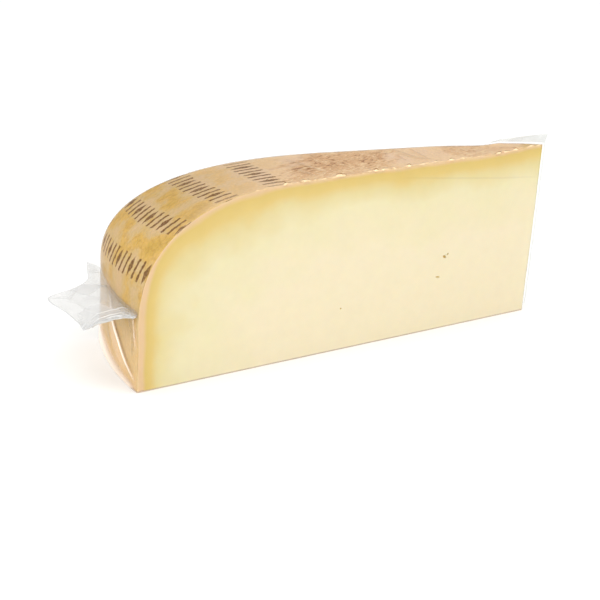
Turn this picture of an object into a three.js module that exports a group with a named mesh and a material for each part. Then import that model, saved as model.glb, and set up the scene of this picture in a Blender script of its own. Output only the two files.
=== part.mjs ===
// A retail wedge of aged goat gouda in its shrunk-on clear pack.
//
// The wedge is cut from the upper half of a round-sided wheel: two upright cuts meet at the tip, and
// the level cut through the middle of the wheel is the foot that it stands on. The film lies tight on
// the cheese, so the two share one outline. Where the film leaves the cheese it has solids of its own:
// the pouch's seam flap on the heel, and the small ear that is left at the tip.
//
// Millimetres, +Z up. +X runs along the near cut towards the tip, and -Y out of the near cut. The
// origin is on the foot, midway along the near cut and ORIGIN_DEPTH behind it.

import * as THREE from 'three';

// ---- driving sizes of the wedge ----
const WHEEL_RADIUS = 130; // tip to heel along the foot of the near cut
const WEDGE_ANGLE = THREE.MathUtils.degToRad(15.9); // between the two upright cuts
const TIP_WIDTH = 8.3; // how far apart the cuts are where the wheel's centre would be
const ORIGIN_DEPTH = 14;
const HEEL_BULGE = 1.9; // how far the heel stands out from the chord between its edges
const TIP_HOLLOW = 0.5; // how far the blunt tip is drawn in between its top and its foot

// The wheel's side in each cut: it leans in over the flank, turns over a rounded shoulder, and runs on
// nearly level from where the flat begins. The shoulder is wider and flatter in the far cut.
const NEAR_SIDE = { lean: 0.055, flank: 14.6, flat: 79.7, height: 52.2, roundness: 2.475, fall: 0.0116 };
const FAR_SIDE = { lean: 0.061, flank: 22.2, flat: 62.5, height: 52.1, roundness: 2.546, fall: 0.0082 };

// The blunt tip runs obliquely from the near cut to the far one. Its top stands out past its foot.
// These are distances from the wheel's centre line, and a negative one lies past it.
const NEAR_TIP = { top: -4.8, foot: 0 };
const FAR_TIP = { top: 10.5, foot: 15 };

// How many steps each stretch round the wedge is drawn with, and how many lie across it.
const STEPS = { flank: 5, shoulder: 30, flat: 14, tip: 8, foot: 14 };
const STEPS_ACROSS = 18;

// ---- driving sizes of the film ----
const FILM_GAP = 0.3; // clear of the cheese
const SEAM_HEIGHT = 22.5; // the pouch's seam runs level round the heel at this height
const SEAM_THICKNESS = 0.6; // two films and the air between their folds
const SEAM_REACH = -79.8; // x of the seam flap's outer edge
const EAR_THICKNESS = 0.5;
const EAR_START = 12.5; // distance from the wheel's centre line where the ear begins to rise
const EAR_HEIGHT = 2.6;
const FIN_WIDTH = 0.6; // the ear goes on down the tip's near edge as a narrow fin
const FIN_FOOT = 2; // the fin ends this far above the foot

// ---------------------------------------------------------------------------------------------
// The wedge's form
// ---------------------------------------------------------------------------------------------

// Distance from the wheel's centre line to its side at a height below the level top.
function reachAt(side, z) {
  if (z <= side.flank) return WHEEL_RADIUS - side.lean * z;
  const shoulderEdge = WHEEL_RADIUS - side.lean * side.flank;
  const rise = Math.min((z - side.flank) / (side.height - side.flank), 1);
  const run = (1 - rise ** side.roundness) ** (1 / side.roundness);
  return side.flat + (shoulderEdge - side.flat) * run;
}

// Height of the level top at a distance from the centre line: it falls a little towards the tip.
function topHeight(side, reach) {
  return side.height - side.fall * (side.flat - reach);
}

// The stretch of one cut's outline that is rind, from the heel's foot to the tip, as [reach, z].
function rindOutline(side, tipTop) {
  const outline = [];
  for (let i = 0; i <= STEPS.flank; i += 1) {
    const z = (side.flank * i) / STEPS.flank;
    outline.push([reachAt(side, z), z]);
  }
  const shoulderEdge = WHEEL_RADIUS - side.lean * side.flank;
  for (let i = 1; i <= STEPS.shoulder; i += 1) {
    const turn = (Math.PI / 2) * (i / STEPS.shoulder);
    const run = Math.cos(turn) ** (2 / side.roundness);
    const rise = Math.sin(turn) ** (2 / side.roundness);
    outline.push([
      side.flat + (shoulderEdge - side.flat) * run,
      side.flank + (side.height - side.flank) * rise,
    ]);
  }
  for (let i = 1; i <= STEPS.flat; i += 1) {
    const reach = THREE.MathUtils.lerp(side.flat, tipTop, i / STEPS.flat);
    outline.push([reach, topHeight(side, reach)]);
  }
  return outline;
}

// A place in the near cut, by its distance from the wheel's centre line.
function inNearCut(reach, z) {
  return new THREE.Vector3(WHEEL_RADIUS / 2 - reach, -ORIGIN_DEPTH, z);
}

// A place in the far cut, by its distance from the wheel's centre line.
function inFarCut(reach, z) {
  const angle = WEDGE_ANGLE + Math.asin((TIP_WIDTH * Math.cos(WEDGE_ANGLE)) / reach);
  return new THREE.Vector3(
    WHEEL_RADIUS / 2 - reach * Math.cos(angle),
    reach * Math.sin(angle) - ORIGIN_DEPTH,
    z,
  );
}

// The line across the wedge from the near cut to the far one, bowed out from the wheel's centre.
function across(near, far, share, bow) {
  const point = near.clone().lerp(far, share);
  const outward = new THREE.Vector3(near.y - far.y, far.x - near.x, 0).normalize();
  return point.addScaledVector(outward, bow * 4 * share * (1 - share));
}

// A place on the heel, by its share of the way across and its height.
function onHeel(share, z) {
  const nearReach = reachAt(NEAR_SIDE, z);
  const bow = (HEEL_BULGE * nearReach) / WHEEL_RADIUS;
  return across(inNearCut(nearReach, z), inFarCut(reachAt(FAR_SIDE, z), z), share, bow);
}

// Rows of points across the wedge: up the heel, along the top, down the tip, and back along the foot.
function wedgeRows() {
  const near = rindOutline(NEAR_SIDE, NEAR_TIP.top);
  const far = rindOutline(FAR_SIDE, FAR_TIP.top);
  const rows = near.map(([reach, z], k) => {
    const bow = (HEEL_BULGE * Math.max(reach, 0)) / WHEEL_RADIUS;
    const ends = [inNearCut(reach, z), inFarCut(...far[k])];
    return evenShares(STEPS_ACROSS).map((share) => across(...ends, share, bow));
  });
  const tipTop = rows[rows.length - 1];
  const tipFoot = evenShares(STEPS_ACROSS).map((share) =>
    across(inNearCut(NEAR_TIP.foot, 0), inFarCut(FAR_TIP.foot, 0), share, 0),
  );
  for (let i = 1; i <= STEPS.tip; i += 1) {
    const share = i / STEPS.tip;
    const drawnIn = TIP_HOLLOW * 4 * share * (1 - share);
    rows.push(tipTop.map((point, j) => {
      const place = point.clone().lerp(tipFoot[j], share);
      place.x -= drawnIn;
      return place;
    }));
  }
  const heelFoot = rows[0];
  for (let i = 1; i < STEPS.foot; i += 1) {
    rows.push(tipFoot.map((point, j) => point.clone().lerp(heelFoot[j], i / STEPS.foot)));
  }
  return rows;
}

// ---------------------------------------------------------------------------------------------
// Solids from rows of points
// ---------------------------------------------------------------------------------------------

function evenShares(steps) {
  return Array.from({ length: steps + 1 }, (_, i) => i / steps);
}

function solidOf(points, triangles) {
  const geometry = new THREE.BufferGeometry().setFromPoints(points);
  geometry.setIndex(triangles);
  geometry.computeVertexNormals();
  return geometry;
}

// A ring of rows closed on itself, with a flat cap over each end of the rows: a fan round its middle.
function cappedRing(rows) {
  const [around, width] = [rows.length, rows[0].length];
  const at = (row, column) => (row % around) * width + column;
  const points = rows.flat();
  const triangles = [];
  for (let row = 0; row < around; row += 1) {
    for (let column = 0; column + 1 < width; column += 1) {
      const [a, b] = [at(row, column), at(row, column + 1)];
      const [c, d] = [at(row + 1, column), at(row + 1, column + 1)];
      triangles.push(a, c, b, b, c, d);
    }
  }
  for (const column of [0, width - 1]) {
    const middle = new THREE.Vector3();
    for (const row of rows) middle.addScaledVector(row[column], 1 / around);
    const hub = points.push(middle) - 1;
    for (let row = 0; row < around; row += 1) {
      const [a, c] = [at(row, column), at(row + 1, column)];
      triangles.push(...(column === 0 ? [c, a, hub] : [a, c, hub]));
    }
  }
  return solidOf(points, triangles);
}

// A thin sheet laid along rows of points: each point is moved half the thickness to either side, both
// faces are split into triangles alike, and a narrow wall closes the edge.
function sheetSolid(rows, thickness) {
  const [depth, width] = [rows.length, rows[0].length];
  const faces = [];
  for (let row = 0; row + 1 < depth; row += 1) {
    for (let column = 0; column + 1 < width; column += 1) {
      const corner = row * width + column;
      faces.push([corner, corner + 1, corner + width]);
      faces.push([corner + 1, corner + width + 1, corner + width]);
    }
  }
  const middle = solidOf(rows.flat(), faces.flat());
  const normals = middle.getAttribute('normal');
  const points = [];
  for (const side of [1, -1]) {
    rows.flat().forEach((point, i) => {
      const normal = new THREE.Vector3().fromBufferAttribute(normals, i);
      points.push(point.clone().addScaledVector(normal, (side * thickness) / 2));
    });
  }
  const under = depth * width;
  const triangles = faces.flat();
  for (const [a, b, c] of faces) triangles.push(a + under, c + under, b + under);
  const edge = [];
  for (let column = 0; column < width - 1; column += 1) edge.push(column);
  for (let row = 0; row < depth - 1; row += 1) edge.push(row * width + width - 1);
  for (let column = width - 1; column > 0; column -= 1) edge.push((depth - 1) * width + column);
  for (let row = depth - 1; row > 0; row -= 1) edge.push(row * width);
  edge.forEach((a, i) => {
    const b = edge[(i + 1) % edge.length];
    triangles.push(b, a, a + under, b, a + under, b + under);
  });
  return solidOf(points, triangles);
}

// ---------------------------------------------------------------------------------------------
// The pouch's seam flap on the heel
// ---------------------------------------------------------------------------------------------

// The flap's outer edge as [x, y, rise above the seam], from the heel's near edge round to its far
// one: the pleated near side, a gathered corner that droops, a straight end, a point, and the far side.
const FLAP_EDGE = [
  [-66.4, -14.6, 0],
  [-77.7, -12.6, -2.4],
  [SEAM_REACH, -8.6, -1.4],
  [SEAM_REACH, 0.6, 0.2],
  [SEAM_REACH, 10.4, 0.4],
  [-72, 12.4, 0.6],
  [-65.4, 17.4, 0.4],
  [-61.6, 26, 0.2],
  [-58.2, 34.4, 0],
];

const FLAP_STEPS = { along: 54, out: 10 };
const FAN = 2.2; // the folds fan out from the heel's near edge, so they start close together there
const PLEATS = 5; // ridges in the fan
const PLEATED_SHARE = 0.42; // of the outer edge that the pleats spread over
const PLEAT_HEIGHT = 0.5;

function seamFlap() {
  const corners = FLAP_EDGE.map(([x, y, rise]) => new THREE.Vector3(x, y, SEAM_HEIGHT + rise));
  const outline = new THREE.CatmullRomCurve3(corners, false, 'centripetal');
  const rows = evenShares(FLAP_STEPS.along).map((along) => {
    const root = onHeel(along ** FAN, SEAM_HEIGHT);
    root.x -= FILM_GAP;
    const edge = outline.getPoint(along);
    const pleated = Math.max(1 - along / PLEATED_SHARE, 0);
    const fold = PLEAT_HEIGHT * Math.sin((2 * Math.PI * PLEATS * along) / PLEATED_SHARE);
    return evenShares(FLAP_STEPS.out).map((out) => {
      const place = root.clone().lerp(edge, out);
      place.z += fold * Math.sin(Math.PI * out) * Math.sqrt(pleated);
      return place;
    });
  });
  return sheetSolid(rows, SEAM_THICKNESS);
}

// ---------------------------------------------------------------------------------------------
// The ear of film at the tip
// ---------------------------------------------------------------------------------------------

const EAR_STEPS = { top: 12, fin: 14, up: 3 };

// The ear rises along the blunt tip's top edge, and goes on down the tip's near edge as a fin.
function tipEar() {
  const topEdge = new THREE.CatmullRomCurve3(
    [
      inFarCut(EAR_START, topHeight(FAR_SIDE, EAR_START) + FILM_GAP),
      inFarCut(FAR_TIP.top, topHeight(FAR_SIDE, FAR_TIP.top) + FILM_GAP),
      inNearCut(NEAR_TIP.top - FILM_GAP, topHeight(NEAR_SIDE, NEAR_TIP.top) + FILM_GAP),
    ],
    false,
    'centripetal',
  );
  const turn = topEdge.getPoint(1);
  const finFoot = inNearCut(NEAR_TIP.foot - FILM_GAP, 0);
  const upward = new THREE.Vector3(0.1, 0, 1).normalize();
  const outward = new THREE.Vector3(1, 0, 0.1).normalize();
  const ribbonRow = (root, width, leaning) => {
    const edge = root.clone().addScaledVector(upward.clone().lerp(outward, leaning).normalize(), width);
    return evenShares(EAR_STEPS.up).map((share) => root.clone().lerp(edge, share));
  };
  const rows = evenShares(EAR_STEPS.top).map((share) =>
    ribbonRow(topEdge.getPointAt(share), THREE.MathUtils.lerp(0.3, EAR_HEIGHT, share), 0.3 * share ** 4),
  );
  const finEnd = 1 - FIN_FOOT / turn.z;
  for (let i = 1; i <= EAR_STEPS.fin; i += 1) {
    const share = (finEnd * i) / EAR_STEPS.fin;
    const root = turn.clone().lerp(finFoot, share);
    root.x -= TIP_HOLLOW * 4 * share * (1 - share);
    rows.push(ribbonRow(root, FIN_WIDTH * (1.3 - 0.6 * share), Math.min(0.3 + share * 8, 1)));
  }
  return sheetSolid(rows, EAR_THICKNESS);
}

// ---------------------------------------------------------------------------------------------
// The object
// ---------------------------------------------------------------------------------------------

const paste = new THREE.MeshStandardMaterial({ color: 0xf4e6bd, roughness: 0.55, metalness: 0 });
const flapFilm = new THREE.MeshStandardMaterial({ color: 0xe6e6e6, roughness: 0.15, metalness: 0 });
const earFilm = new THREE.MeshStandardMaterial({ color: 0xe9eae8, roughness: 0.15, metalness: 0 });
for (const film of [flapFilm, earFilm]) {
  film.transparent = true;
  film.opacity = 0.4;
}

function named(name, geometry, material) {
  const mesh = new THREE.Mesh(geometry, material);
  mesh.name = name;
  return mesh;
}

const packedWedge = new THREE.Group();
packedWedge.add(
  named('cheese_wedge', cappedRing(wedgeRows()), paste),
  named('film_seam_flap', seamFlap(), flapFilm),
  named('film_tip_ear', tipEar(), earFilm),
);

export default packedWedge;
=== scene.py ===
"""A retail wedge of aged goat gouda in its shrunk-on clear pack, dressed for close viewing.

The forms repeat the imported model's at finer steps: two upright cuts that meet near the tip, a rounded
rind between them, and a level foot. The film lies on the model's own outline and the cheese lies just
inside it. Sizes are in millimetres in the model's frame: +X along the near cut towards the tip, -Y out
of the near cut, +Z up from the foot. A mesh is turned to metres when it is made.
"""

import functools
import logging
import math
from collections.abc import Callable, Mapping, Sequence
from dataclasses import dataclass
from enum import Enum, IntEnum

import bpy
import numpy as np
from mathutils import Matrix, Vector, noise
from mathutils.geometry import delaunay_2d_cdt


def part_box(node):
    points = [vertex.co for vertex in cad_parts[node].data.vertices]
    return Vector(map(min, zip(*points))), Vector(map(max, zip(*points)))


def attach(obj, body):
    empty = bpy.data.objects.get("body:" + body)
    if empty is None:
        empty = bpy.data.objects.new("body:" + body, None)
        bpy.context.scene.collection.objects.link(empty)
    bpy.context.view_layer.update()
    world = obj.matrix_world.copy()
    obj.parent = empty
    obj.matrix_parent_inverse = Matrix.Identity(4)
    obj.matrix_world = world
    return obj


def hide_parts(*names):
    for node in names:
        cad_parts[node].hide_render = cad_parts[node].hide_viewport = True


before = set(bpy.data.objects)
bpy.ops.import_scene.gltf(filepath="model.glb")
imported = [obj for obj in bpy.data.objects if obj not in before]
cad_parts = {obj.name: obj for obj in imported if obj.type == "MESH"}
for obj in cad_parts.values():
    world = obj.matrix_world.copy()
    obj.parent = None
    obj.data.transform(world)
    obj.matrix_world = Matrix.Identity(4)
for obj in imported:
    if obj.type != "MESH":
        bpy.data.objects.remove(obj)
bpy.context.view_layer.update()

Array = np.ndarray
Colour = tuple[float, float, float, float]
Place = tuple[float, float, float]
Span = tuple[float, float]
Ramp = tuple[float, float, float, float]  # a low and a high value, and what these two turn into
Tones = tuple[tuple[float, str | float], ...]  # places on a colour ramp, each with its colour
Socket = bpy.types.NodeSocket
Link = float | str | Sequence[float] | Socket
NodeAdder = Callable[..., Socket]
Faces = list[tuple[int, ...]]

MM = 0.001
COLOUR_MIX = {"out": 2, "data_type": "RGBA"}  # makes Blender's Mix node mix colours
MIX_A, MIX_B = 6, 7  # its inputs for the two colours
NOISE_SPAN = (0.3, 0.7)  # where most values of a noise lie
NOISE_REACH = (0.25, 0.75)  # where nearly all of them lie
MEASURE_STEPS = 2000  # for measuring along the shoulder
CUT_RINGS = ((0.35, 1), (0.9, 2))  # how far inside a cut's rim each ring lies, and its stride over the rim
CUT_CLEARANCE = 0.6  # by its spacing, how far a cut's even field of points keeps from the rings
WANTED_CLEARANCE = 0.45  # and from the wanted points
EYE_SPOKES = 18
EYE_RINGS = (0.25, 0.55, 0.8, 0.95, 1.08, 1.3, 1.8)  # by share of the hole's half size
CREASE_ENDS = (0.004, 0.996)  # by share of its length: a crease fades out towards these

log = logging.getLogger("wedge")


# ---------------------------------------------------------------------------------------------
# Helpers for meshes and nodes
# ---------------------------------------------------------------------------------------------


def srgb(code: str) -> Colour:
    """Turn an sRGB hex colour to linear light.

    Args:
        code: Six hex digits.

    Returns:
        Red, green, blue and a full alpha.
    """
    channels = [int(code[i : i + 2], 16) / 255 for i in (0, 2, 4)]
    linear = [c / 12.92 if c <= 0.04045 else ((c + 0.055) / 1.055) ** 2.4 for c in channels]
    return (*linear, 1.0)


def per_metre(size: float) -> float:
    """Pattern scale for object coordinates, which are in metres, from a size in millimetres."""
    return 1 / (size * MM)


def add_node(
    tree: bpy.types.NodeTree,
    kind: str,
    links: Mapping[str | int, Link] | Sequence[Link] = (),
    out: str | int = 0,
    stops: Tones = (),
    **settings: object,
) -> Socket:
    """Add one node with its settings and links.

    Args:
        tree: The node tree that it joins.
        kind: Blender's name for the kind of node, without the ShaderNode that all of them start with.
        links: What the inputs get, in their order, or by name or place: a number, a hex colour, a
            vector or another node's output. A Map Range takes the value and then the four of a Ramp.
        out: The output to give back, by name or place.
        stops: Places on a colour ramp, each with a hex colour or a grey from 0 to 1.
        settings: The node's own properties.

    Returns:
        The chosen output.
    """
    node = tree.nodes.new(f"ShaderNode{kind}")
    for name, value in settings.items():
        setattr(node, name, value)
    for key, value in links.items() if isinstance(links, Mapping) else enumerate(links):
        if isinstance(value, bpy.types.NodeSocket):
            tree.links.new(value, node.inputs[key])
        else:
            node.inputs[key].default_value = srgb(value) if isinstance(value, str) else value
    for i, (place, tone) in enumerate(stops):
        elements = node.color_ramp.elements
        stop = elements[i] if i < 2 else elements.new(place)
        stop.position = place
        stop.color = srgb(tone) if isinstance(tone, str) else (tone, tone, tone, 1.0)
    return node.outputs[out]


def new_material(name: str) -> tuple[bpy.types.Material, NodeAdder, Socket]:
    """Make a material with only its output node.

    Args:
        name: The real material and how its surface was made.

    Returns:
        The material, what adds a node to it, and the socket that its shader goes to.
    """
    material = bpy.data.materials.new(name)
    material.use_nodes = True
    tree = material.node_tree
    tree.nodes.clear()
    surface = tree.nodes.new("ShaderNodeOutputMaterial").inputs["Surface"]
    return material, functools.partial(add_node, tree), surface


def uneven(points: Array, size: float, octaves: int = 3, shift: float = 0.0) -> Array:
    """Smooth random heights over points.

    Args:
        points: Places in millimetres, one a row.
        size: Width of the largest bumps in millimetres.
        octaves: How many finer layers there are.
        shift: Moves the pattern, so that two fields differ.

    Returns:
        One height for each point, mostly from -1 to 1.
    """
    places = points / size + shift
    return np.array([noise.fractal(Vector(place), 1.0, 2.0, octaves) for place in places])


def ease(low: float, high: float, values: Array) -> Array:
    """Rise smoothly from 0 at low to 1 at high."""
    share = np.clip((values - low) / (high - low), 0, 1)
    return share * share * (3 - 2 * share)


def bulge(height: float | Array, share: Array) -> Array:
    """Rise from 0 to a height halfway along a stretch, and fall to 0 again."""
    return height * 4 * share * (1 - share)


def turned(flat: Array, angle: float) -> Array:
    """Flat places turned anticlockwise round the origin.

    Args:
        flat: The places, one a row.
        angle: How far, in radians.

    Returns:
        One place a row.
    """
    cos, sin = math.cos(angle), math.sin(angle)
    return np.stack([flat[:, 0] * cos - flat[:, 1] * sin, flat[:, 0] * sin + flat[:, 1] * cos], -1)


def stronger(fold: Array, other: Array) -> Array:
    """The stronger of two folds at each point, whether it whitens or shows painted shade."""
    return np.where(np.abs(other) > np.abs(fold), other, fold)


def grid_faces(rows: int, columns: int) -> Faces:
    """Quads over an open grid of points that is stored row by row.

    Args:
        rows: How many rows of points there are.
        columns: How many points each row has.

    Returns:
        Point numbers of each quad.
    """
    starts = [row * columns + col for row in range(rows - 1) for col in range(columns - 1)]
    return [(start, start + columns, start + columns + 1, start + 1) for start in starts]


def make_piece(
    name: str,
    points: Array,
    faces: Faces,
    finishes: Sequence[bpy.types.Material],
    zones: Sequence[int] = (),
    **marks: Array,
) -> bpy.types.Object:
    """Make a smooth mesh object in metres.

    Args:
        name: The piece's name.
        points: Its points in millimetres.
        faces: Point numbers of each face.
        finishes: Its materials.
        zones: Which material each face has, where there are several.
        marks: Values for each point that the materials read.

    Returns:
        The object, linked to the scene.
    """
    mesh = bpy.data.meshes.new(name)
    mesh.from_pydata((points * MM).tolist(), [], faces)
    mesh.shade_smooth()
    if zones:
        mesh.polygons.foreach_set("material_index", np.asarray(zones, dtype=np.int32))
    for label, values in marks.items():
        kind, slot = ("FLOAT", "value") if values.ndim == 1 else ("FLOAT_VECTOR", "vector")
        layer = mesh.attributes.new(label, kind, "POINT")
        layer.data.foreach_set(slot, values.astype(np.float32).ravel())
    for finish in finishes:
        mesh.materials.append(finish)
    piece = bpy.data.objects.new(name, mesh)
    bpy.context.scene.collection.objects.link(piece)
    return piece


def fit(piece: bpy.types.Object, slot: str, *nodes: str) -> None:
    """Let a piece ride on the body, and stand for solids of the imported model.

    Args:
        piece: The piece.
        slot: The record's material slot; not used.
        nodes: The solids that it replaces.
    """
    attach(piece, "root")
    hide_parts(*nodes)


# ---------------------------------------------------------------------------------------------
# The wedge's form
# ---------------------------------------------------------------------------------------------


class Stretch(IntEnum):
    """The stretches of the wedge's outline, in the order that its rows run."""

    RIND = 0
    TIP = 1
    FOOT = 2


@dataclass(frozen=True)
class Steps:
    """How finely the wedge is drawn: how many steps each stretch has."""

    flank: int
    shoulder: int
    flat: int
    tip: int
    foot: int
    across: int
    corner: int
    inner: float  # spacing of the points inside a cut, in millimetres


@dataclass(frozen=True)
class SideProfile:
    """The wheel's side in one cut, by distance from the wheel's centre line."""

    lean: float  # how far the flank leans in for each millimetre up
    flank: float  # height of the flank's top, where the shoulder starts
    flat: float  # where the shoulder ends and the wheel's flat face starts
    height: float  # of that face there
    roundness: float  # of the shoulder: 2 is an ellipse, and more is squarer
    fall: float  # how far the flat face falls for each millimetre towards the tip
    tip_top: float  # where the tip ends at the top
    tip_foot: float  # and at the foot

    def reach(self, wheel_radius: float, height: Array) -> Array:
        """Distance of the side from the centre line.

        Args:
            wheel_radius: That distance at the foot.
            height: Heights above the foot.

        Returns:
            The distances.
        """
        edge = wheel_radius - self.lean * self.flank
        rise = np.clip((height - self.flank) / (self.height - self.flank), 0, 1)
        run = (1 - rise**self.roundness) ** (1 / self.roundness)
        rounded = self.flat + (edge - self.flat) * run
        return np.where(height <= self.flank, wheel_radius - self.lean * height, rounded)

    def shoulder(self, wheel_radius: float, turns: Array) -> Array:
        """The rounded shoulder as distance and height.

        Args:
            wheel_radius: Distance of the side from the centre line at the foot.
            turns: How far round each point lies, from 0 to a quarter turn.

        Returns:
            One distance and height a row.
        """
        edge = wheel_radius - self.lean * self.flank
        run = np.cos(turns) ** (2 / self.roundness)
        rise = np.sin(turns) ** (2 / self.roundness)
        reach = self.flat + (edge - self.flat) * run
        return np.stack([reach, self.flank + (self.height - self.flank) * rise], -1)

    def tip_height(self) -> float:
        """Height of the tip's top."""
        return self.height - self.fall * (self.flat - self.tip_top)


@dataclass(frozen=True)
class Cut:
    """One upright cut: a plane, and the wheel's side in it."""

    side: SideProfile
    origin: Vector
    direction: Vector  # level, from the tip towards the heel
    offset: float  # how far the plane passes from the wheel's centre line

    def along(self, reach: Array) -> Array:
        """Place along the cut of a distance from the centre line."""
        return np.sign(reach) * np.sqrt(np.maximum(reach**2 - self.offset**2, 0))

    def place(self, flat: Array) -> Array:
        """Points of the plane, given as place along it and height."""
        level = np.asarray(self.origin) + flat[..., :1] * np.asarray(self.direction)
        return level + flat[..., 1:] * np.array([0.0, 0.0, 1.0])


def corner_arc(before: Array, corner: Array, after: Array, radius: float, steps: int) -> Array:
    """A round corner between two straight runs.

    Args:
        before: A point on the run that comes in.
        corner: Where the runs meet.
        after: A point on the run that goes out.
        radius: Of the arc.
        steps: How many it has.

    Returns:
        Points of the arc, in order.
    """
    inward = (corner - before) / np.linalg.norm(corner - before)
    outward = (after - corner) / np.linalg.norm(after - corner)
    turn = math.acos(float(np.clip(inward @ outward, -1, 1)))
    left = np.array([-inward[1], inward[0]])
    start = corner - inward * radius * math.tan(turn / 2)
    angles = np.linspace(0, turn, steps + 1)[:, None]
    return start + radius * (np.sin(angles) * inward + (1 - np.cos(angles)) * left)


@dataclass
class Skin:
    """A closed surface over the wedge, with what each point and face belongs to."""

    points: Array
    faces: Faces
    face_kinds: list[Stretch | None]  # None on the two upright cuts
    rind_place: Array  # millimetres across from the near cut, and along from the heel's foot
    cut_gap: Array  # distance from the nearer of the two cuts, over the rind
    cut_place: Array  # place along the cut and height, on the two upright cuts
    depth: Array  # how far below the rind
    on_rind: Array
    on_near_cut: Array

    def normals(self) -> Array:
        """Outward direction at each point.

        Returns:
            One unit vector a row.
        """
        total = np.zeros_like(self.points)
        for corners in (3, 4):
            faces = np.array([face for face in self.faces if len(face) == corners])
            a, b, c, d = (self.points[faces[:, i]] for i in (0, 1, corners - 2, corners - 1))
            area = np.cross(c - a, d - b) if corners == 4 else np.cross(b - a, d - a)
            for i in range(corners):
                np.add.at(total, faces[:, i], area)
        return total / np.linalg.norm(total, axis=1, keepdims=True)


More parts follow.
